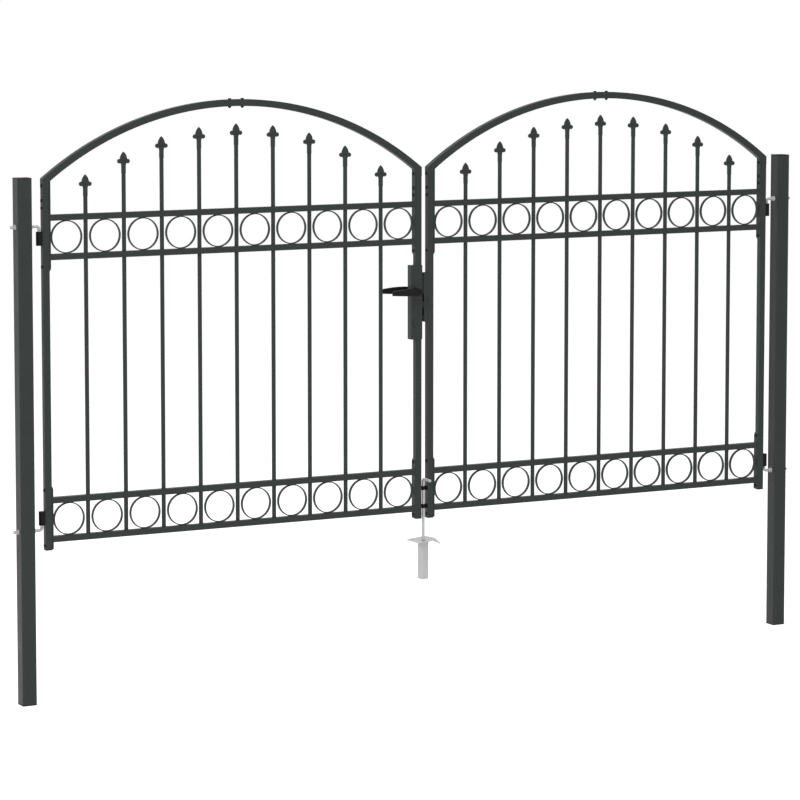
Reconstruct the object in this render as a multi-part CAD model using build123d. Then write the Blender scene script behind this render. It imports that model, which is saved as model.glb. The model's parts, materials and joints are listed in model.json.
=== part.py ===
from build123d import *
import math
import os

# Steel double-leaf garden gate with arched tops, its two posts, a lock and a drop bolt.
# Millimetres, +Z up. The origin is the middle of the left post's foot, +X runs along
# the gate to the right post, and the drop bolt's handle points to -Y.
# The left leaf is modelled in place and the right leaf is its mirror image.

# Posts
POST_HEIGHT = 1750.0
POST_SIDE = 50.0
POST_WALL = 2.0
POST_CORNER = 4.0
POST_SPACING = 2970.0
CAP_LIP = 3.0
CAP_PLUG = 14.0
CAP_PLUG_GAP = 0.2

# Leaf frame
HINGE_GAP = 42.0
LEAF_GAP = 24.0
LEAF_BOTTOM = 515.0
SHOULDER = 1745.0
ARCH_RISE = 248.0
FRAME_SIDE = 23.0
FRAME_WALL = 1.5
FRAME_CORNER = 2.0
SEAT = 0.1

# Plugs in the feet of the stiles
FOOT_LIP = 3.0
FOOT_PLUG = 8.0
FOOT_ROUND = 1.5

# Joint of the two arch halves at the top
JOINT_SLIT = 0.4
JOINER_LENGTH = 84.0
JOINER_SIDE = 14.0
JOINER_GAP = 1.0
JOINT_BOLT_SPACING = 47.0
JOINT_BOLT = 6.0
JOINT_HEAD = 11.0
JOINT_HEAD_HEIGHT = 3.5
JOINT_NUT_HEIGHT = 3.5
BOLT_HOLE_GAP = 0.2

# End plates that carry the ring bands and are bolted to the stiles
PLATE_THICK = 4.5
PLATE_SLANT = 9.0
UPPER_PLATE_BOTTOM = 1440.0
LOWER_PLATE_TOP = 726.0
PLATE_BOLT = 6.0
PLATE_HEAD = 11.0
PLATE_HEAD_HEIGHT = 2.6
UPPER_PLATE_BOLTS = (1454.0, 1648.0, 1673.0, 1722.0)
LOWER_PLATE_BOLTS = (527.0, 713.0)

# Rails and rings of the two bands
RAIL_SIDE = 20.0
BAND_GAP = 110.0
UPPER_BAND_BOTTOM = 1476.0
LOWER_BAND_BOTTOM = 538.0
RING_STRIP = 3.5
RING_DEPTH = 11.0

# Balusters
BALUSTER_COUNT = 9
BALUSTER_PITCH = 137.0
BALUSTER_DIAMETER = 14.2
BALUSTER_HOLE_GAP = 0.15
BALUSTER_SEAT_DEPTH = 15.0

# Spear heads
SPEAR_TOP = 1911.0
SPEAR_ARC_RADIUS = 1040.0
SPEAR_WIDTH = 44.0
SPEAR_BLADE_WIDTH = 25.0
SPEAR_BLADE_HEIGHT = 23.0
SPEAR_LOBE = 15.0
SPEAR_HEIGHT = 44.0
SPEAR_THICK = 6.0
SOCKET_DIAMETER = 16.0
SOCKET_HEIGHT = 28.0
SOCKET_GRIP = 22.0

# Hinges
BARREL_DIAMETER = 20.0
BARREL_LENGTH = 46.0
UPPER_BARREL_BOTTOM = 1525.0
LOWER_BARREL_BOTTOM = 597.0
PIN_DIAMETER = 10.0
PIN_CLEARANCE = 0.05
HOOK_BEND = 9.0
HOOK_LEG_GAP = 12.0
HOOK_STUB = 8.0
NUT_WIDTH = 14.0
NUT_HEIGHT = 7.0
WASHER_DIAMETER = 18.0
WASHER_THICK = 2.0
THREAD_GAP = 0.1

# Lock
LOCK_BOTTOM = 1145.0
LOCK_TOP = 1404.0
LOCK_REACH = 19.5
LOCK_WALL = 2.0
FOREND_THICK = 2.2
CYLINDER_HEIGHT = 1209.0
CYLINDER_DIAMETER = 17.0
CYLINDER_TAIL = 10.0
CYLINDER_DROP = 21.0
CYLINDER_PROUD = 2.0
CYLINDER_HOLE_GAP = 0.3
LATCH_LEVEL = 1290.0
DEADBOLT_LEVEL = 1240.0
BOLT_WIDTH = 12.0
BOLT_TALL = 24.0
BOLT_PROUD = 1.5

# Levers on the lock
LEVER_LEVEL = 1313.0
LEVER_INSET = 26.0
LEVER_LENGTH = 106.0
LEVER_STANDOFF = 28.0
LEVER_THICK = 10.0
LEVER_HUB_TALL = 24.0
LEVER_MIDDLE_TALL = 24.0
LEVER_TIP_TALL = 14.5
LEVER_TIP_RISE = 3.2
NECK_DIAMETER = 16.0
NECK_GAP = 0.3
SPINDLE_DIAMETER = 10.0
SPINDLE_CLEARANCE = 0.08
ROSE_DIAMETER = 27.0
ROSE_THICK = 3.0

# Strike on the other leaf
STRIKE_BOTTOM = 1205.0
STRIKE_TOP = 1377.0
STRIKE_REACH = 15.0
STRIKE_POCKET = 10.0
STRIKE_POCKET_GAP = 3.0

# Drop bolt on the right leaf
ROD_DIAMETER = 10.4
ROD_TOP = 650.0
ROD_HANDLE = 50.0
ROD_BEND = 9.0
ROD_TIP_GAP = 0.5
EYE_DIAMETER = 15.0
EYE_HEIGHT = 13.0
EYE_CLEARANCE = 0.08
EYE_NECK = 8.0
EYE_PAD_THICK = 2.0
UPPER_EYE = 612.0
LOWER_EYE = 548.0

# Ground anchor under the drop bolt
ANCHOR_TOP = 432.0
ANCHOR_THICK = 3.0
ANCHOR_LEFT_FRONT = (-37.0, -39.0)
ANCHOR_RIGHT_FRONT = (36.0, -8.0)
ANCHOR_RIGHT_BACK = (62.0, 29.0)
ANCHOR_BACK = (52.0, 86.0)
ANCHOR_LEFT_BACK = (-39.0, 48.0)
ANCHOR_WING = 28.0
ANCHOR_WING_SKEW = 9.0
ANCHOR_WING_DROP = 36.0
ANCHOR_TUBE_SIDE = 28.0
ANCHOR_TUBE_WALL = 2.0
ANCHOR_TUBE_CORNER = 3.0
ANCHOR_TUBE_LENGTH = 132.0
ANCHOR_TUBE_TURN = 13.0
ANCHOR_HOLE_GAP = 3.2

# Places worked out from the sizes above
MIDDLE = POST_SPACING / 2
POST_FACE = POST_SIDE / 2
LEAF_OUTER = POST_FACE + HINGE_GAP
LEAF_INNER = MIDDLE - LEAF_GAP / 2
LEAF_CENTRE = (LEAF_OUTER + LEAF_INNER) / 2
LEAF_HALF = (LEAF_INNER - LEAF_OUTER) / 2
FRAME_HALF = FRAME_SIDE / 2
ARCH_OUTER = (LEAF_HALF ** 2 + ARCH_RISE ** 2) / (2 * ARCH_RISE)
ARCH_INNER = ARCH_OUTER - FRAME_SIDE
ARCH_CENTRE = SHOULDER + ARCH_RISE - ARCH_OUTER
ARCH_TOP = SHOULDER + ARCH_RISE
STILE_OUTER = LEAF_OUTER + FRAME_HALF
STILE_INNER = LEAF_INNER - FRAME_HALF
BAY_LEFT = LEAF_OUTER + FRAME_SIDE + PLATE_THICK
BAY_RIGHT = LEAF_INNER - FRAME_SIDE - PLATE_THICK
HINGE_AXIS = LEAF_OUTER - BARREL_DIAMETER / 2 - SEAT
UPPER_LEG = UPPER_BARREL_BOTTOM + BARREL_LENGTH + HOOK_LEG_GAP + PIN_DIAMETER / 2
LOWER_LEG = LOWER_BARREL_BOTTOM - HOOK_LEG_GAP - PIN_DIAMETER / 2
LOCK_HALF = FRAME_HALF + LOCK_WALL
LEVER_AXIS = LEAF_INNER - LEVER_INSET


def export(name, solids):
    shape = solids[0] if len(solids) == 1 else Compound(children=list(solids))
    export_step(shape, f"parts/{name}.step")


def across(shapes):
    return [mirror(s, about=Plane.YZ.offset(MIDDLE)) for s in shapes]


def block(x0, x1, y0, y1, z0, z1):
    return Pos((x0 + x1) / 2, (y0 + y1) / 2, (z0 + z1) / 2) * Box(x1 - x0, y1 - y0, z1 - z0)


def along_z(x, y, z0, z1, radius):
    return Pos(x, y, (z0 + z1) / 2) * Cylinder(radius, z1 - z0)


def along_x(x0, x1, y, z, radius):
    return Pos((x0 + x1) / 2, y, z) * Rot(0, 90, 0) * Cylinder(radius, x1 - x0)


def along_y(x, y0, y1, z, radius):
    return Pos(x, (y0 + y1) / 2, z) * Rot(90, 0, 0) * Cylinder(radius, y1 - y0)


def square_tube(x, z0, z1, side, wall, corner):
    hollow = side - 2 * wall
    profile = RectangleRounded(side, side, corner) - RectangleRounded(hollow, hollow, corner - wall / 2)
    return Pos(x, 0, z0) * extrude(profile, z1 - z0)


# Posts and what is fixed to them

def post():
    tube = square_tube(0, CAP_LIP, POST_HEIGHT - CAP_LIP, POST_SIDE, POST_WALL, POST_CORNER)
    for z in (LOWER_LEG, UPPER_LEG):
        tube -= along_x(-POST_SIDE, POST_SIDE, 0, z, PIN_DIAMETER / 2 + THREAD_GAP)
    return tube


def post_cap():
    inside = POST_SIDE - 2 * POST_WALL - 2 * CAP_PLUG_GAP
    lip = extrude(RectangleRounded(POST_SIDE, POST_SIDE, POST_CORNER), CAP_LIP)
    plug = extrude(RectangleRounded(inside, inside, POST_CORNER - POST_WALL / 2), CAP_LIP + CAP_PLUG)
    return lip + plug


def hinge_hook(leg, pin_end):
    start = -POST_FACE - WASHER_THICK - NUT_HEIGHT - HOOK_STUB
    path = FilletPolyline((start, 0, leg), (HINGE_AXIS, 0, leg), (HINGE_AXIS, 0, pin_end), radius=HOOK_BEND)
    return sweep(Plane(origin=(start, 0, leg), z_dir=(1, 0, 0)) * Circle(PIN_DIAMETER / 2), path=path)


def hinge_nut(x, z):
    nut = extrude(RegularPolygon(NUT_WIDTH / 2, 6, major_radius=False), NUT_HEIGHT)
    nut -= Cylinder(PIN_DIAMETER / 2 + THREAD_GAP, 3 * NUT_HEIGHT)
    return Pos(x, 0, z) * Rot(0, 90, 0) * nut


def hinge_washer(x, z):
    washer = along_x(x, x + WASHER_THICK, 0, z, WASHER_DIAMETER / 2)
    return washer - along_x(x - 1, x + WASHER_THICK + 1, 0, z, PIN_DIAMETER / 2 + THREAD_GAP)


def build_posts():
    export("left_post", [post()])
    export("right_post", across([post()]))
    foot = [post_cap()]
    top = [Pos(0, 0, POST_HEIGHT) * Rot(180, 0, 0) * post_cap()]
    export("post_top_caps", top + across(top))
    export("post_foot_caps", foot + across(foot))
    hooks = [
        hinge_hook(UPPER_LEG, UPPER_BARREL_BOTTOM + 1),
        hinge_hook(LOWER_LEG, LOWER_BARREL_BOTTOM + BARREL_LENGTH - 1),
    ]
    export("hinge_hooks", hooks + across(hooks))
    nuts = []
    washers = []
    for z in (LOWER_LEG, UPPER_LEG):
        washers.append(hinge_washer(-POST_FACE - WASHER_THICK, z))
        washers.append(hinge_washer(POST_FACE, z))
        nuts.append(hinge_nut(-POST_FACE - WASHER_THICK - NUT_HEIGHT, z))
        nuts.append(hinge_nut(POST_FACE + WASHER_THICK, z))
    export("hinge_nuts", nuts + across(nuts))
    export("hinge_washers", washers + across(washers))


# Arch over a leaf

def arch_disc(radius, depth):
    return along_y(LEAF_CENTRE, -depth / 2, depth / 2, ARCH_CENTRE, radius)


def under_arch(shape):
    return shape & arch_disc(ARCH_INNER - SEAT, 3 * FRAME_SIDE)


def arch_mid_height():
    return ARCH_TOP - FRAME_HALF


def arch_half(side):
    # side is -1 for the half by the hinge and +1 for the half by the lock
    bar = arch_disc(ARCH_OUTER, FRAME_SIDE) - arch_disc(ARCH_INNER, 2 * FRAME_SIDE)
    ends = sorted((LEAF_CENTRE + side * JOINT_SLIT / 2, LEAF_CENTRE + side * LEAF_HALF))
    half = bar & block(ends[0], ends[1], -FRAME_SIDE, FRAME_SIDE, ARCH_CENTRE, ARCH_TOP + 1)
    slot = JOINER_SIDE / 2 + JOINER_GAP
    reach = JOINER_LENGTH / 2 + JOINER_GAP
    mid = arch_mid_height()
    half -= block(LEAF_CENTRE - reach, LEAF_CENTRE + reach, -slot, slot, mid - slot, mid + slot)
    x = LEAF_CENTRE + side * JOINT_BOLT_SPACING / 2
    half -= along_z(x, 0, mid - FRAME_SIDE, mid + FRAME_SIDE, JOINT_BOLT / 2 + BOLT_HOLE_GAP)
    foot = LEAF_CENTRE + side * LEAF_HALF
    for hole in bolt_holes(foot - 2 * FRAME_SIDE, foot + 2 * FRAME_SIDE):
        half -= hole
    return half


def arch_joiner():
    side = JOINER_SIDE / 2
    mid = arch_mid_height()
    bar = block(LEAF_CENTRE - JOINER_LENGTH / 2, LEAF_CENTRE + JOINER_LENGTH / 2, -side, side, mid - side, mid + side)
    for x in joint_bolt_places():
        bar -= along_z(x, 0, mid - FRAME_SIDE, mid + FRAME_SIDE, JOINT_BOLT / 2 + BOLT_HOLE_GAP)
    return bar


def joint_bolt_places():
    return [LEAF_CENTRE - JOINT_BOLT_SPACING / 2, LEAF_CENTRE + JOINT_BOLT_SPACING / 2]


def joint_bolt(x):
    # The head rests on the curved top at its nearest point and the nut on the underside
    near = abs(x - LEAF_CENTRE) - JOINT_HEAD / 2
    far = abs(x - LEAF_CENTRE) + JOINT_HEAD / 2
    seat_top = ARCH_CENTRE + math.sqrt(ARCH_OUTER ** 2 - near ** 2) + SEAT
    seat_low = ARCH_CENTRE + math.sqrt(ARCH_INNER ** 2 - far ** 2) - SEAT
    shank = along_z(x, 0, seat_low - JOINT_NUT_HEIGHT - 3, seat_top, JOINT_BOLT / 2)
    head = along_z(x, 0, seat_top, seat_top + JOINT_HEAD_HEIGHT, JOINT_HEAD / 2)
    nut = extrude(RegularPolygon(JOINT_HEAD / 2, 6, major_radius=False), JOINT_NUT_HEIGHT)
    return shank + head + Pos(x, 0, seat_low - JOINT_NUT_HEIGHT) * nut


# Stiles, end plates and the bolts through them

def plate_bolt_heights():
    return LOWER_PLATE_BOLTS + UPPER_PLATE_BOLTS


def bolt_holes(x0, x1):
    return [along_x(x0, x1, 0, z, PLATE_BOLT / 2 + BOLT_HOLE_GAP) for z in plate_bolt_heights()]


def stile(x):
    tube = square_tube(x, LEAF_BOTTOM, ARCH_TOP, FRAME_SIDE, FRAME_WALL, FRAME_CORNER)
    tube = under_arch(tube)
    for hole in bolt_holes(x - FRAME_SIDE, x + FRAME_SIDE):
        tube -= hole
    return tube


def foot_plug(x):
    inside = FRAME_SIDE - 2 * FRAME_WALL - 2 * CAP_PLUG_GAP
    lip = extrude(RectangleRounded(FRAME_SIDE, FRAME_SIDE, FRAME_CORNER), -FOOT_LIP)
    lip = fillet(lip.faces().sort_by(Axis.Z)[0].edges(), FOOT_ROUND)
    plug = extrude(RectangleRounded(inside, inside, FRAME_CORNER - FRAME_WALL / 2), FOOT_PLUG)
    return Pos(x, 0, LEAF_BOTTOM) * (lip + plug)


def latch_stile():
    return stile(STILE_INNER) - spindle_hole(FRAME_SIDE) - lock_cylinder(FRAME_SIDE, CYLINDER_HOLE_GAP)


def end_plate(x_back, direction, z0, z1, slant_low, slant_high):
    # The front of the plate faces into the bay, and its ends slant back to the stile
    x_front = x_back + direction * PLATE_THICK
    low = z0 + slant_low
    high = z1 - slant_high
    outline = Polyline((x_back, z0), (x_front, low), (x_front, high), (x_back, z1), close=True)
    plate = extrude(Plane.XZ * make_face(outline), FRAME_HALF, both=True)
    plate = under_arch(plate)
    for hole in bolt_holes(x_back - PLATE_THICK * 2, x_back + PLATE_THICK * 2):
        plate -= hole
    return plate


def end_plates():
    plates = []
    for x_back, direction in ((LEAF_OUTER + FRAME_SIDE, 1), (LEAF_INNER - FRAME_SIDE, -1)):
        plates.append(end_plate(x_back, direction, LEAF_BOTTOM, LOWER_PLATE_TOP, 0, PLATE_SLANT))
        plates.append(end_plate(x_back, direction, UPPER_PLATE_BOTTOM, ARCH_TOP, PLATE_SLANT, 0))
    return plates


def plate_bolt(x_face, direction, z):
    # direction points from the stile's outer face into the leaf
    inner = x_face + direction * (FRAME_SIDE + PLATE_THICK)
    far = inner + direction * PLATE_HEAD_HEIGHT
    near = x_face - direction * PLATE_HEAD_HEIGHT
    shank = along_x(min(x_face, inner), max(x_face, inner), 0, z, PLATE_BOLT / 2)
    head = along_x(min(near, x_face), max(near, x_face), 0, z, PLATE_HEAD / 2)
    nut = along_x(min(inner, far), max(inner, far), 0, z, PLATE_HEAD / 2)
    return shank + head + nut


def leaf_bolts():
    bolts = [joint_bolt(x) for x in joint_bolt_places()]
    for z in plate_bolt_heights():
        bolts.append(plate_bolt(LEAF_OUTER, 1, z))
        bolts.append(plate_bolt(LEAF_INNER, -1, z))
    return bolts


# Ring bands, balusters and spear heads

def baluster_places():
    first = LEAF_CENTRE - (BALUSTER_COUNT - 1) / 2 * BALUSTER_PITCH
    return [first + i * BALUSTER_PITCH for i in range(BALUSTER_COUNT)]


def rail(z):
    half = RAIL_SIDE / 2
    bar = block(BAY_LEFT, BAY_RIGHT, -half, half, z, z + RAIL_SIDE)
    floor = BALUSTER_SEAT_DEPTH if z == LOWER_BAND_BOTTOM else RAIL_SIDE + 1
    for x in baluster_places():
        bar -= along_z(x, 0, z + RAIL_SIDE - floor, z + RAIL_SIDE + 1, BALUSTER_DIAMETER / 2 + BALUSTER_HOLE_GAP)
    return bar


def rails():
    step = RAIL_SIDE + BAND_GAP
    return [rail(z) for low in (LOWER_BAND_BOTTOM, UPPER_BAND_BOTTOM) for z in (low, low + step)]


def rings(band_bottom):
    z = band_bottom + RAIL_SIDE + BAND_GAP / 2
    outer = BAND_GAP / 2 - SEAT
    places = baluster_places()
    centres = [places[0] - BALUSTER_PITCH / 2] + [x + BALUSTER_PITCH / 2 for x in places]
    made = []
    for x in centres:
        ring = along_y(x, -RING_DEPTH / 2, RING_DEPTH / 2, z, outer)
        made.append(ring - along_y(x, -RING_DEPTH, RING_DEPTH, z, outer - RING_STRIP))
    return made


def spear_tip(x):
    offset = x - LEAF_CENTRE
    return SPEAR_TOP - SPEAR_ARC_RADIUS + math.sqrt(SPEAR_ARC_RADIUS ** 2 - offset ** 2)


def socket_foot(x):
    return spear_tip(x) - SPEAR_HEIGHT - SOCKET_HEIGHT


def baluster(x):
    foot = LOWER_BAND_BOTTOM + RAIL_SIDE - BALUSTER_SEAT_DEPTH
    return along_z(x, 0, foot, socket_foot(x) + SOCKET_GRIP, BALUSTER_DIAMETER / 2)


def spear_outline():
    # Drawn with its tip at the sketch's origin
    half = SPEAR_BLADE_WIDTH / 2
    hip = -SPEAR_BLADE_HEIGHT
    right = ThreePointArc((0, 0), (half * 0.72, hip * 0.5), (half, hip))
    left = ThreePointArc((-half, hip), (-half * 0.72, hip * 0.5), (0, 0))
    neck = SOCKET_DIAMETER / 2
    body = Polyline((half, hip), (neck, -SPEAR_HEIGHT), (-neck, -SPEAR_HEIGHT), (-half, hip))
    face = make_face([right, body, left])
    lobe = SPEAR_LOBE / 2
    for side in (-1, 1):
        face += Pos(side * (SPEAR_WIDTH / 2 - lobe), hip - lobe - 1) * Circle(lobe)
    return face


def spear_head(x):
    tip = spear_tip(x)
    blade = extrude(Plane.XZ * spear_outline(), SPEAR_THICK / 2, both=True)
    blade = Pos(x, 0, tip) * blade
    foot = socket_foot(x)
    socket = along_z(x, 0, foot, foot + SOCKET_HEIGHT + SPEAR_HEIGHT / 4, SOCKET_DIAMETER / 2)
    bore = along_z(x, 0, foot - 1, foot + SOCKET_GRIP, BALUSTER_DIAMETER / 2 + BALUSTER_HOLE_GAP)
    return blade + socket - bore


def hinge_barrel(z):
    barrel = along_z(HINGE_AXIS, 0, z, z + BARREL_LENGTH, BARREL_DIAMETER / 2)
    return barrel - along_z(HINGE_AXIS, 0, z - 1, z + BARREL_LENGTH + 1, PIN_DIAMETER / 2 + PIN_CLEARANCE)


def build_leaves():
    leaf = {
        "hinge_stile": [stile(STILE_OUTER)],
        "arch_hinge_half": [arch_half(-1)],
        "arch_lock_half": [arch_half(1)],
        "arch_joiner": [arch_joiner()],
        "leaf_bolts": leaf_bolts(),
        "end_plates": end_plates(),
        "rails": rails(),
        "balusters": [baluster(x) for x in baluster_places()],
        "spear_heads": [spear_head(x) for x in baluster_places()],
        "rings": rings(UPPER_BAND_BOTTOM) + rings(LOWER_BAND_BOTTOM),
        "foot_plugs": [foot_plug(STILE_OUTER), foot_plug(STILE_INNER)],
        "hinge_barrels": [hinge_barrel(LOWER_BARREL_BOTTOM), hinge_barrel(UPPER_BARREL_BOTTOM)],
    }
    for name, solids in leaf.items():
        export(f"left_{name}", solids)
        export(f"right_{name}", across(solids))
    export("left_latch_stile", [latch_stile()])
    export("right_latch_stile", across([stile(STILE_INNER)]))


# Lock, its levers and the strike

def spindle_hole(reach):
    return along_y(LEVER_AXIS, -reach, reach, LEVER_LEVEL, SPINDLE_DIAMETER / 2 + SPINDLE_CLEARANCE)


def lock_cylinder(reach, gap):
    round_part = along_y(LEVER_AXIS, -reach, reach, CYLINDER_HEIGHT, CYLINDER_DIAMETER / 2 + gap)
    half = CYLINDER_TAIL / 2 + gap
    low = CYLINDER_HEIGHT - CYLINDER_DROP - gap
    return round_part + block(LEVER_AXIS - half, LEVER_AXIS + half, -reach, reach, low, CYLINDER_HEIGHT)


def lock_case():
    case = block(STILE_INNER - FRAME_HALF - LOCK_REACH, LEAF_INNER, -LOCK_HALF, LOCK_HALF, LOCK_BOTTOM, LOCK_TOP)
    slot_start = STILE_INNER - FRAME_HALF
    case -= block(slot_start, LEAF_INNER + 1, -FRAME_HALF, FRAME_HALF, LOCK_BOTTOM - 1, LOCK_TOP + 1)
    return case - spindle_hole(2 * LOCK_HALF) - lock_cylinder(2 * LOCK_HALF, CYLINDER_HOLE_GAP)


def bolt_block(x0, x1, level, gap):
    half = BOLT_WIDTH / 2 + gap
    tall = BOLT_TALL / 2 + gap
    return block(x0, x1, -half, half, level - tall, level + tall)


def lock_forend():
    plate = block(LEAF_INNER, LEAF_INNER + FOREND_THICK, -FRAME_HALF, FRAME_HALF, LOCK_BOTTOM, LOCK_TOP)
    for level in (LATCH_LEVEL, DEADBOLT_LEVEL):
        plate -= bolt_block(LEAF_INNER - 1, LEAF_INNER + FOREND_THICK + 1, level, SEAT)
    return plate


def lock_bolts():
    end = LEAF_INNER + FOREND_THICK + BOLT_PROUD
    return [bolt_block(LEAF_INNER, end, level, 0) for level in (LATCH_LEVEL, DEADBOLT_LEVEL)]


def lock_rose(side):
    face = side * LOCK_HALF
    ends = sorted((face, face + side * ROSE_THICK))
    rose = along_y(LEVER_AXIS, ends[0], ends[1], LEVER_LEVEL, ROSE_DIAMETER / 2)
    return rose - spindle_hole(2 * LOCK_HALF + ROSE_THICK)


def lever(side):
    # The blade runs from the hub towards the hinge side of the leaf and thins to a blunt tip
    back = LOCK_HALF + LEVER_STANDOFF
    hub = LEVER_HUB_TALL / 2
    middle = -LEVER_LENGTH / 2
    tip_low = LEVER_TIP_RISE - hub
    tip_high = tip_low + LEVER_TIP_TALL
    top = ThreePointArc((0, hub), (middle, LEVER_MIDDLE_TALL - hub), (-LEVER_LENGTH, tip_high))
    nose = Polyline((-LEVER_LENGTH, tip_high), (-LEVER_LENGTH, tip_low))
    bottom = Polyline((-LEVER_LENGTH, tip_low), (middle, -hub), (0, -hub))
    heel = ThreePointArc((0, -hub), (hub, 0), (0, hub))
    blade = extrude(Plane.XZ * make_face([top, nose, bottom, heel]), LEVER_THICK / 2, both=True)
    blade = fillet(blade.edges().filter_by(Plane.XZ), LEVER_THICK / 4)
    blade = Pos(LEVER_AXIS, side * (back + LEVER_THICK / 2), LEVER_LEVEL) * blade
    start = LOCK_HALF + ROSE_THICK + NECK_GAP
    ends = sorted((side * start, side * (back + LEVER_THICK / 2)))
    neck = along_y(LEVER_AXIS, ends[0], ends[1], LEVER_LEVEL, NECK_DIAMETER / 2)
    socket = along_y(LEVER_AXIS, -spindle_end(), spindle_end(), LEVER_LEVEL, SPINDLE_DIAMETER / 2)
    return blade + neck - socket


def spindle_end():
    return LOCK_HALF + LEVER_STANDOFF - 2


def build_lock():
    export("lock_case", [lock_case()])
    export("lock_forend", [lock_forend()])
    export("lock_bolts", lock_bolts())
    export("lock_cylinder", [lock_cylinder(LOCK_HALF + CYLINDER_PROUD, 0)])
    export("lock_roses", [lock_rose(-1), lock_rose(1)])
    export("front_lever", [lever(-1)])
    export("rear_lever", [lever(1)])
    export("lever_spindle", [along_y(LEVER_AXIS, -spindle_end(), spindle_end(), LEVER_LEVEL, SPINDLE_DIAMETER / 2)])
    export("lock_strike", [lock_strike()])


def lock_strike():
    face = MIDDLE + LEAF_GAP / 2
    left = face - STRIKE_REACH
    strike = block(left, face, -FRAME_HALF, FRAME_HALF, STRIKE_BOTTOM, STRIKE_TOP)
    for level in (LATCH_LEVEL, DEADBOLT_LEVEL):
        strike -= bolt_block(left - 1, left + STRIKE_POCKET, level, STRIKE_POCKET_GAP)
    return strike


# Drop bolt, its guides and the ground anchor

def drop_bolt():
    tip = ANCHOR_TOP + ROD_TIP_GAP
    path = FilletPolyline((MIDDLE, 0, tip), (MIDDLE, 0, ROD_TOP), (MIDDLE, -ROD_HANDLE, ROD_TOP), radius=ROD_BEND)
    return sweep(Plane(origin=(MIDDLE, 0, tip), z_dir=(0, 0, 1)) * Circle(ROD_DIAMETER / 2), path=path)


def guide(z):
    face = MIDDLE + LEAF_GAP / 2
    eye = along_z(MIDDLE, 0, z, z + EYE_HEIGHT, EYE_DIAMETER / 2)
    neck = block(MIDDLE, face, -EYE_NECK / 2, EYE_NECK / 2, z, z + EYE_HEIGHT)
    pad = block(face - EYE_PAD_THICK, face, -FRAME_HALF, FRAME_HALF, z, z + EYE_HEIGHT)
    bore = along_z(MIDDLE, 0, z - 1, z + EYE_HEIGHT + 1, ROD_DIAMETER / 2 + EYE_CLEARANCE)
    return eye + neck + pad - bore


def anchor_wing():
    run_x, run_y = (far - near for near, far in zip(ANCHOR_RIGHT_FRONT, ANCHOR_RIGHT_BACK))
    fold = math.hypot(run_x, run_y)
    turn = math.degrees(math.atan2(run_y, run_x))
    outline = Polygon((0, 0), (fold / 2 + ANCHOR_WING_SKEW, -ANCHOR_WING), (fold, 0), align=None)
    wing = extrude(outline, -ANCHOR_THICK)
    return Pos(*ANCHOR_RIGHT_FRONT, ANCHOR_TOP) * Rot(0, 0, turn) * Rot(ANCHOR_WING_DROP, 0, 0) * wing


def anchor_plate():
    corners = [ANCHOR_LEFT_FRONT, ANCHOR_RIGHT_FRONT, ANCHOR_RIGHT_BACK, ANCHOR_BACK, ANCHOR_LEFT_BACK]
    plate = Pos(0, 0, ANCHOR_TOP) * extrude(Polygon(*corners, align=None), -ANCHOR_THICK)
    plate += anchor_wing()
    hole = along_z(0, 0, ANCHOR_TOP - ANCHOR_THICK - 1, ANCHOR_TOP + 1, ROD_DIAMETER / 2 + ANCHOR_HOLE_GAP)
    return plate - hole


def ground_anchor():
    under = ANCHOR_TOP - ANCHOR_THICK
    tube = square_tube(0, under - ANCHOR_TUBE_LENGTH, under, ANCHOR_TUBE_SIDE, ANCHOR_TUBE_WALL, ANCHOR_TUBE_CORNER)
    return Pos(MIDDLE, 0, 0) * (anchor_plate() + Rot(0, 0, ANCHOR_TUBE_TURN) * tube)


def build_drop_bolt():
    export("drop_bolt", [drop_bolt()])
    export("drop_bolt_guides", [guide(LOWER_EYE), guide(UPPER_EYE)])
    export("ground_anchor", [ground_anchor()])


os.makedirs("parts", exist_ok=True)
build_posts()
build_leaves()
build_lock()
build_drop_bolt()
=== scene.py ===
import json
import math

import bmesh
import bpy
from mathutils import Euler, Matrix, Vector


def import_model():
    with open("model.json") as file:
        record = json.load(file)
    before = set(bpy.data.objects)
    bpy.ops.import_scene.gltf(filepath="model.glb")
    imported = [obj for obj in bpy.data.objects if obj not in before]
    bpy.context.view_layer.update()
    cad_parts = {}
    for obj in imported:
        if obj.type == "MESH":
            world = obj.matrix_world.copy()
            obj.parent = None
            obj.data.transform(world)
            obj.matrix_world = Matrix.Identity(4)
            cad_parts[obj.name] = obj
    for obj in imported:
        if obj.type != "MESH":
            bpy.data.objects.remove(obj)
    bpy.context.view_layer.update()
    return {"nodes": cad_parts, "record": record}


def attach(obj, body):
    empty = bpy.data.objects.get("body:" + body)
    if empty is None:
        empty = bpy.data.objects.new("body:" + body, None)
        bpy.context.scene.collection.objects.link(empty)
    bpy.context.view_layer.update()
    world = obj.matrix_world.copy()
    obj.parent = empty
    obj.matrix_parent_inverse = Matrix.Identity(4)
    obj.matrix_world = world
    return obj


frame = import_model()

nodes = frame["nodes"]


# Materials

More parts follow.
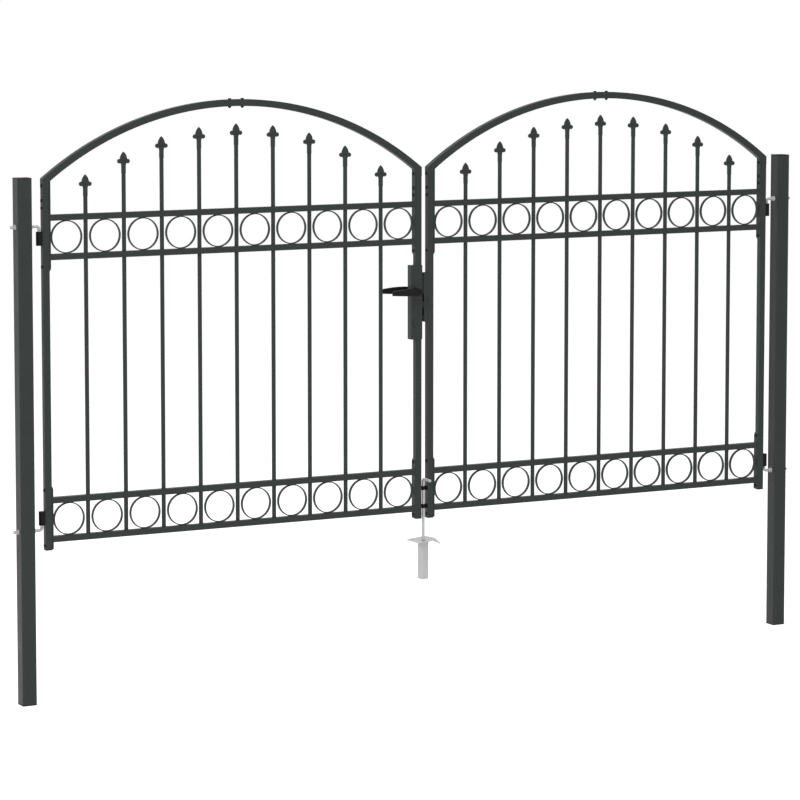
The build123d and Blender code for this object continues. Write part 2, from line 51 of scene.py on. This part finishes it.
class Shader:
    """A Principled material with a few helpers that add and join its nodes."""

    def __init__(self, name, metallic=0.0, roughness=0.5, specular=0.5):
        self.material = bpy.data.materials.new(name)
        self.material.use_nodes = True
        self.tree = self.material.node_tree
        self.skin = self.tree.nodes["Principled BSDF"]
        self.skin.inputs["Metallic"].default_value = metallic
        self.skin.inputs["Roughness"].default_value = roughness
        self.skin.inputs["Specular IOR Level"].default_value = specular
        place = self.tree.nodes.new("ShaderNodeTexCoord")
        self.place = place.outputs["Object"]

    def join(self, source, target):
        self.tree.links.new(source, target)

    def stretched(self, scale):
        node = self.tree.nodes.new("ShaderNodeMapping")
        node.inputs["Scale"].default_value = scale
        self.join(self.place, node.inputs["Vector"])
        return node.outputs["Vector"]

    def noise(self, scale, detail=3.0, roughness=0.5, place=None):
        node = self.tree.nodes.new("ShaderNodeTexNoise")
        node.inputs["Scale"].default_value = scale
        node.inputs["Detail"].default_value = detail
        node.inputs["Roughness"].default_value = roughness
        self.join(place or self.place, node.inputs["Vector"])
        return node.outputs["Fac"]

    def cells(self, scale, output):
        node = self.tree.nodes.new("ShaderNodeTexVoronoi")
        node.inputs["Scale"].default_value = scale
        self.join(self.place, node.inputs["Vector"])
        return node.outputs[output]

    def grey(self, colour):
        node = self.tree.nodes.new("ShaderNodeRGBToBW")
        self.join(colour, node.inputs["Color"])
        return node.outputs["Val"]

    def ramp(self, value, stops):
        node = self.tree.nodes.new("ShaderNodeValToRGB")
        self.join(value, node.inputs["Fac"])
        elements = node.color_ramp.elements
        while len(elements) < len(stops):
            elements.new(0.5)
        for element, (position, colour) in zip(elements, stops):
            element.position = position
            element.color = (*colour, 1.0)
        return node.outputs["Color"]

    def span(self, value, low, high, start=0.0, end=1.0):
        node = self.tree.nodes.new("ShaderNodeMapRange")
        self.join(value, node.inputs["Value"])
        node.inputs["From Min"].default_value = start
        node.inputs["From Max"].default_value = end
        node.inputs["To Min"].default_value = low
        node.inputs["To Max"].default_value = high
        return node.outputs["Result"]

    def multiply(self, first, second):
        node = self.tree.nodes.new("ShaderNodeMix")
        node.data_type = "RGBA"
        node.blend_type = "MULTIPLY"
        node.inputs[0].default_value = 1.0
        self.join(first, node.inputs[6])
        self.join(second, node.inputs[7])
        return node.outputs[2]

    def bump(self, height, strength, distance, under=None):
        node = self.tree.nodes.new("ShaderNodeBump")
        node.inputs["Strength"].default_value = strength
        node.inputs["Distance"].default_value = distance
        self.join(height, node.inputs["Height"])
        if under:
            self.join(under, node.inputs["Normal"])
        return node.outputs["Normal"]

    def colour(self, source):
        self.join(source, self.skin.inputs["Base Color"])

    def rough(self, source):
        self.join(source, self.skin.inputs["Roughness"])

    def normal(self, source):
        self.join(source, self.skin.inputs["Normal"])


def powder_coat():
    s = Shader("frame_coat_look", roughness=0.45, specular=0.2)
    patches = s.noise(7.0, 3.0, 0.6)
    grain = s.noise(700.0, 2.0, 0.6)
    tone = s.ramp(patches, [(0.3, (0.034, 0.041, 0.039)), (0.7, (0.041, 0.049, 0.046))])
    specks = s.ramp(grain, [(0.35, (0.80, 0.80, 0.80)), (0.7, (1.15, 1.15, 1.15))])
    s.colour(s.multiply(tone, specks))
    s.rough(s.span(patches, 0.40, 0.55, 0.3, 0.7))
    orange_peel = s.noise(380.0, 2.0, 0.5)
    first = s.bump(orange_peel, 0.25, 0.0006)
    s.normal(s.bump(grain, 0.12, 0.0003, first))
    return s.material


def dark_coat():
    s = Shader("black_steel_look", roughness=0.5, specular=0.1)
    patches = s.noise(30.0, 3.0, 0.6)
    grain = s.noise(900.0, 2.0, 0.6)
    s.colour(s.ramp(patches, [(0.3, (0.006, 0.007, 0.007)), (0.7, (0.011, 0.012, 0.012))]))
    s.rough(s.span(patches, 0.42, 0.58, 0.3, 0.7))
    s.normal(s.bump(grain, 0.2, 0.0004))
    return s.material


def moulded_black():
    s = Shader("black_plastic_look", roughness=0.55, specular=0.14)
    patches = s.noise(45.0, 2.0, 0.5)
    pits = s.cells(1400.0, "Distance")
    s.colour(s.ramp(patches, [(0.3, (0.005, 0.005, 0.005)), (0.7, (0.009, 0.009, 0.009))]))
    s.rough(s.span(patches, 0.42, 0.56, 0.3, 0.7))
    s.normal(s.bump(pits, 0.25, 0.0003))
    return s.material


def galvanized():
    s = Shader("zinc_look", metallic=0.15, roughness=0.4, specular=0.8)
    spangle = s.grey(s.cells(150.0, "Color"))
    clouds = s.noise(28.0, 4.0, 0.6)
    tone = s.ramp(clouds, [(0.3, (0.57, 0.573, 0.575)), (0.7, (0.61, 0.613, 0.615))])
    flakes = s.ramp(spangle, [(0.0, (0.95, 0.95, 0.952)), (1.0, (1.03, 1.03, 1.03))])
    s.colour(s.multiply(tone, flakes))
    s.rough(s.span(spangle, 0.34, 0.46))
    s.normal(s.bump(clouds, 0.1, 0.0003))
    return s.material


def brushed():
    s = Shader("bare_steel_look", metallic=0.9, roughness=0.32)
    strokes = s.noise(60.0, 4.0, 0.7, s.stretched((1.0, 1.0, 30.0)))
    s.colour(s.ramp(strokes, [(0.3, (0.48, 0.48, 0.49)), (0.7, (0.62, 0.62, 0.62))]))
    s.rough(s.span(strokes, 0.24, 0.42, 0.3, 0.7))
    s.normal(s.bump(strokes, 0.1, 0.0002))
    return s.material


LOOKS = {
    "frame_coat": powder_coat(),
    "black_steel": dark_coat(),
    "black_plastic": moulded_black(),
    "zinc": galvanized(),
    "bare_steel": brushed(),
}


def finish_of(name):
    for part in frame["record"]["subparts"]:
        if part["node"] == name:
            return part["material_slot"]
    return "frame_coat"


def dress_nodes():
    for name, thing in nodes.items():
        thing.data.materials.clear()
        thing.data.materials.append(LOOKS[finish_of(name)])


# Small parts that the solids leave out

# Where the solids are, in metres, on the left leaf
MIDDLE = 1.485
STILE_SIDE = 0.023
LEAF_OUTER = 0.067
LEAF_INNER = 1.473
PLATE = 0.0045
RAIL = 0.020
RAIL_LEVELS = (0.538, 0.668, 1.476, 1.606)
BAR_PLACES = [0.222 + 0.137 * i for i in range(9)]
RING_PLACES = [0.1535 + 0.137 * i for i in range(10)]
RING_BANDS = ((RAIL_LEVELS[0] + RAIL, RAIL_LEVELS[1]), (RAIL_LEVELS[2] + RAIL, RAIL_LEVELS[3]))
BAR_RADIUS = 0.0071
BARREL_FEET = (0.597, 1.525)
HOOK_LEVELS = (0.580, 1.588)
FOREND_FACE = LEAF_INNER + 0.0022
FOREND_SCREWS = (1.156, 1.393)
STRIKE_FACE = 1.482
STRIKE_SCREWS = (1.213, 1.369)

# Sizes of the welds, threads and screws
WELD_RIPPLE = 0.14
RAIL_BEAD = 0.0013
BAR_BEAD = 0.0009
RING_BEAD = 0.0010
RING_BEAD_REACH = 0.0045
RING_BEAD_OFFSETS = (-0.007, 0.007)
RING_BEAD_SINK = 0.0007
BARREL_BEAD = 0.0019
BARREL_BEAD_SIDE = 0.0062
BARREL_BEAD_SINK = 0.0008
THREAD_START = -0.0412
THREAD_RADIUS = 0.0049
THREAD_WIRE = 0.00042
THREAD_PITCH = 0.0015
THREAD_TURNS = 4.6
STEPS_PER_TURN = 18
SCREW_RADIUS = 0.0042
FOREND_HEAD = 0.0008
STRIKE_HEAD = 0.0010


class Build:
    """Collects rounded beads in one mesh, for the left leaf or mirrored for the right leaf."""

    def __init__(self, name, look, body, mirrored=False):
        self.name = name
        self.look = look
        self.body = body
        self.mirrored = mirrored
        self.mesh = bmesh.new()

    def place(self, point):
        x, y, z = point
        return Vector((2 * MIDDLE - x if self.mirrored else x, y, z))

    def round(self, centre, side, up, radius, sides):
        turn = [2 * math.pi * k / sides for k in range(sides)]
        return [self.mesh.verts.new(centre + radius * (math.cos(a) * side + math.sin(a) * up)) for a in turn]

    def join(self, first, second):
        for k in range(len(first)):
            m = (k + 1) % len(first)
            self.mesh.faces.new((first[k], first[m], second[m], second[k]))

    def tube(self, points, radius, closed=False, sides=6, ripple=0.0):
        points = [self.place(p) for p in points]
        count = len(points)
        rows = []
        for i, point in enumerate(points):
            before = points[i - 1] if closed or i > 0 else point
            after = points[(i + 1) % count] if closed or i < count - 1 else point
            along = (after - before).normalized()
            side = along.cross(Vector((0.31, 0.52, 0.79))).normalized()
            up = along.cross(side)
            fat = radius * (1 + ripple * math.sin(i * 2.1) + ripple * 0.5 * math.sin(i * 0.83 + 1))
            if not closed and i in (0, count - 1):
                fat *= 0.45
            rows.append(self.round(point, side, up, fat, sides))
        for i in range(count if closed else count - 1):
            self.join(rows[i], rows[(i + 1) % count])
        if not closed:
            self.mesh.faces.new(rows[0])
            self.mesh.faces.new(rows[-1])

    def disc(self, centre, axis, radius, height):
        """A low domed head on a face: centre is on the face and axis points out of it."""
        sides = 24
        rounding = 0.35
        centre = self.place(centre)
        axis = Vector(axis)
        if self.mirrored:
            axis.x = -axis.x
        axis.normalize()
        side = axis.orthogonal().normalized()
        up = axis.cross(side)
        profile = ((1.0, 0.0), (1.0, 1 - rounding), (0.93, 1 - rounding * 0.45), (0.8, 1.0), (0.35, 1.08))
        rows = []
        for wide, tall in profile:
            rows.append(self.round(centre + axis * height * tall, side, up, radius * wide, sides))
        for first, second in zip(rows, rows[1:]):
            self.join(first, second)
        self.mesh.faces.new(rows[-1])
        self.mesh.faces.new(list(reversed(rows[0])))

    def finish(self):
        bmesh.ops.recalc_face_normals(self.mesh, faces=self.mesh.faces)
        data = bpy.data.meshes.new(self.name)
        self.mesh.to_mesh(data)
        self.mesh.free()
        data.shade_smooth()
        data.materials.append(LOOKS[self.look])
        thing = bpy.data.objects.new(self.name, data)
        bpy.context.scene.collection.objects.link(thing)
        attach(thing, self.body)
        return thing


def steps(a, b, pitch):
    a = Vector(a)
    b = Vector(b)
    count = max(2, round((b - a).length / pitch))
    return [a.lerp(b, i / count) for i in range(count)]


def loop_of(corners, pitch):
    points = []
    for a, b in zip(corners, corners[1:] + corners[:1]):
        points += steps(a, b, pitch)
    return points


def ring_of(x, z, radius, count=20):
    turn = [2 * math.pi * k / count for k in range(count)]
    return [(x + radius * math.cos(a), radius * math.sin(a), z) for a in turn]


def rail_welds(build):
    half = RAIL / 2
    for x in (LEAF_OUTER + STILE_SIDE + PLATE, LEAF_INNER - STILE_SIDE - PLATE):
        for z in RAIL_LEVELS:
            corners = [(x, -half, z), (x, half, z), (x, half, z + RAIL), (x, -half, z + RAIL)]
            build.tube(loop_of(corners, 0.0016), RAIL_BEAD, closed=True, ripple=WELD_RIPPLE)


def bar_welds(build):
    for x in BAR_PLACES:
        for z in RAIL_LEVELS:
            levels = (z + RAIL,) if z == RAIL_LEVELS[0] else (z, z + RAIL)
            for level in levels:
                build.tube(ring_of(x, level, BAR_RADIUS), BAR_BEAD, closed=True, ripple=WELD_RIPPLE)


def ring_welds(build):
    for x in RING_PLACES:
        for low, high in RING_BANDS:
            for level in (low + RING_BEAD_SINK, high - RING_BEAD_SINK):
                for offset in RING_BEAD_OFFSETS:
                    start = (x + offset, -RING_BEAD_REACH, level)
                    end = (x + offset, RING_BEAD_REACH, level)
                    build.tube(steps(start, end, 0.0012) + [Vector(end)], RING_BEAD, ripple=WELD_RIPPLE)


def barrel_welds(build):
    for z in BARREL_FEET:
        for y in (-BARREL_BEAD_SIDE, BARREL_BEAD_SIDE):
            start = (LEAF_OUTER - BARREL_BEAD_SINK, y, z + 0.003)
            end = (LEAF_OUTER - BARREL_BEAD_SINK, y, z + 0.043)
            build.tube(steps(start, end, 0.0018) + [Vector(end)], BARREL_BEAD, ripple=WELD_RIPPLE)


WELDS = (("rail", rail_welds), ("bar", bar_welds), ("ring", ring_welds), ("barrel", barrel_welds))


def leaf_details(side, mirrored):
    body = side + "_leaf"
    for word, maker in WELDS:
        build = Build(f"{side}_{word}_welds", "frame_coat", body, mirrored)
        maker(build)
        build.finish()


def hook_threads():
    build = Build("hook_threads", "zinc", "posts")
    for mirrored in (False, True):
        build.mirrored = mirrored
        for z in HOOK_LEVELS:
            points = []
            for i in range(int(THREAD_TURNS * STEPS_PER_TURN)):
                a = 2 * math.pi * i / STEPS_PER_TURN
                x = THREAD_START + THREAD_PITCH * i / STEPS_PER_TURN
                points.append((x, THREAD_RADIUS * math.cos(a), z + THREAD_RADIUS * math.sin(a)))
            build.tube(points, THREAD_WIRE, sides=5)
    build.finish()


def lock_screws():
    build = Build("lock_screws", "black_steel", "left_leaf")
    for z in FOREND_SCREWS:
        build.disc((FOREND_FACE, 0.0, z), (1, 0, 0), SCREW_RADIUS, FOREND_HEAD)
    build.finish()
    build = Build("strike_screws", "black_steel", "right_leaf")
    for z in STRIKE_SCREWS:
        build.disc((STRIKE_FACE, 0.0, z), (-1, 0, 0), SCREW_RADIUS, STRIKE_HEAD)
    build.finish()


def details():
    for side, mirrored in (("left", False), ("right", True)):
        leaf_details(side, mirrored)
    hook_threads()
    lock_screws()


# Floor, light and camera

FLOOR_GLOW = 0.71
FLOOR_HALF = 60.0
FLOOR_LEVEL = -0.0005


def straight_rays(tree):
    """1 for camera, glossy and transmission rays, which see the white background."""
    rays = tree.nodes.new("ShaderNodeLightPath")
    first = tree.nodes.new("ShaderNodeMath")
    first.operation = "MAXIMUM"
    tree.links.new(rays.outputs["Is Camera Ray"], first.inputs[0])
    tree.links.new(rays.outputs["Is Glossy Ray"], first.inputs[1])
    both = tree.nodes.new("ShaderNodeMath")
    both.operation = "MAXIMUM"
    tree.links.new(first.outputs[0], both.inputs[0])
    tree.links.new(rays.outputs["Is Transmission Ray"], both.inputs[1])
    return both.outputs[0]


def floor_material():
    material = bpy.data.materials.new("floor_look")
    material.use_nodes = True
    tree = material.node_tree
    skin = tree.nodes["Principled BSDF"]
    skin.inputs["Roughness"].default_value = 0.9
    skin.inputs["Specular IOR Level"].default_value = 0.0
    noise = tree.nodes.new("ShaderNodeTexNoise")
    noise.inputs["Scale"].default_value = 1.5
    ramp = tree.nodes.new("ShaderNodeValToRGB")
    ramp.color_ramp.elements[0].color = (0.86, 0.86, 0.86, 1.0)
    ramp.color_ramp.elements[1].color = (0.90, 0.90, 0.90, 1.0)
    tree.links.new(noise.outputs["Fac"], ramp.inputs["Fac"])
    tree.links.new(ramp.outputs["Color"], skin.inputs["Base Color"])
    glow = tree.nodes.new("ShaderNodeMath")
    glow.operation = "MULTIPLY"
    glow.inputs[1].default_value = FLOOR_GLOW
    tree.links.new(straight_rays(tree), glow.inputs[0])
    skin.inputs["Emission Color"].default_value = (1.0, 1.0, 1.0, 1.0)
    tree.links.new(glow.outputs[0], skin.inputs["Emission Strength"])
    return material


def floor():
    mesh = bpy.data.meshes.new("floor")
    corners = [(-1, -1), (1, -1), (1, 1), (-1, 1)]
    mesh.from_pydata([(x * FLOOR_HALF, y * FLOOR_HALF, FLOOR_LEVEL) for x, y in corners], [], [(0, 1, 2, 3)])
    thing = bpy.data.objects.new("floor", mesh)
    bpy.context.scene.collection.objects.link(thing)
    mesh.materials.append(floor_material())


def world():
    sky = bpy.data.worlds.new("studio")
    bpy.context.scene.world = sky
    sky.use_nodes = True
    tree = sky.node_tree
    plain = tree.nodes["Background"]
    plain.inputs["Color"].default_value = (1.0, 1.0, 1.0, 1.0)
    plain.inputs["Strength"].default_value = 0.33
    white = tree.nodes.new("ShaderNodeBackground")
    white.inputs["Color"].default_value = (1.0, 1.0, 1.0, 1.0)
    white.inputs["Strength"].default_value = 1.0
    mix = tree.nodes.new("ShaderNodeMixShader")
    tree.links.new(straight_rays(tree), mix.inputs["Fac"])
    tree.links.new(plain.outputs["Background"], mix.inputs[1])
    tree.links.new(white.outputs["Background"], mix.inputs[2])
    tree.links.new(mix.outputs["Shader"], tree.nodes["World Output"].inputs["Surface"])


def lamp(name, place, target, size, power):
    light = bpy.data.lights.new(name, "AREA")
    light.size = size
    light.energy = power
    thing = bpy.data.objects.new(name, light)
    bpy.context.scene.collection.objects.link(thing)
    thing.location = place
    thing.rotation_euler = (Vector(target) - Vector(place)).to_track_quat("-Z", "Y").to_euler()


def lamps():
    middle = (1.485, 0.0, 1.0)
    lamp("key", (-5.0, -4.0, 5.5), middle, 3.0, 230.0)
    lamp("fill", (2.5, -6.0, 3.5), middle, 4.0, 10.0)
    lamp("top", (1.485, -0.6, 6.0), middle, 4.0, 150.0)


def camera():
    data = bpy.data.cameras.new("camera")
    thing = bpy.data.objects.new("camera", data)
    bpy.context.scene.collection.objects.link(thing)
    data.sensor_width = 36.0
    data.lens = 150.04
    data.shift_y = -0.1506
    data.clip_start = 0.1
    data.clip_end = 200.0
    thing.location = (-3.9348, -10.2196, 2.4326)
    yaw = 0.48060
    pitch = 0.09316
    thing.rotation_euler = Euler((math.pi / 2 - pitch, 0.0, -yaw), "XYZ")
    bpy.context.scene.camera = thing


dress_nodes()
details()
floor()
world()
lamps()
camera()

bpy.context.scene.view_settings.view_transform = "Standard"
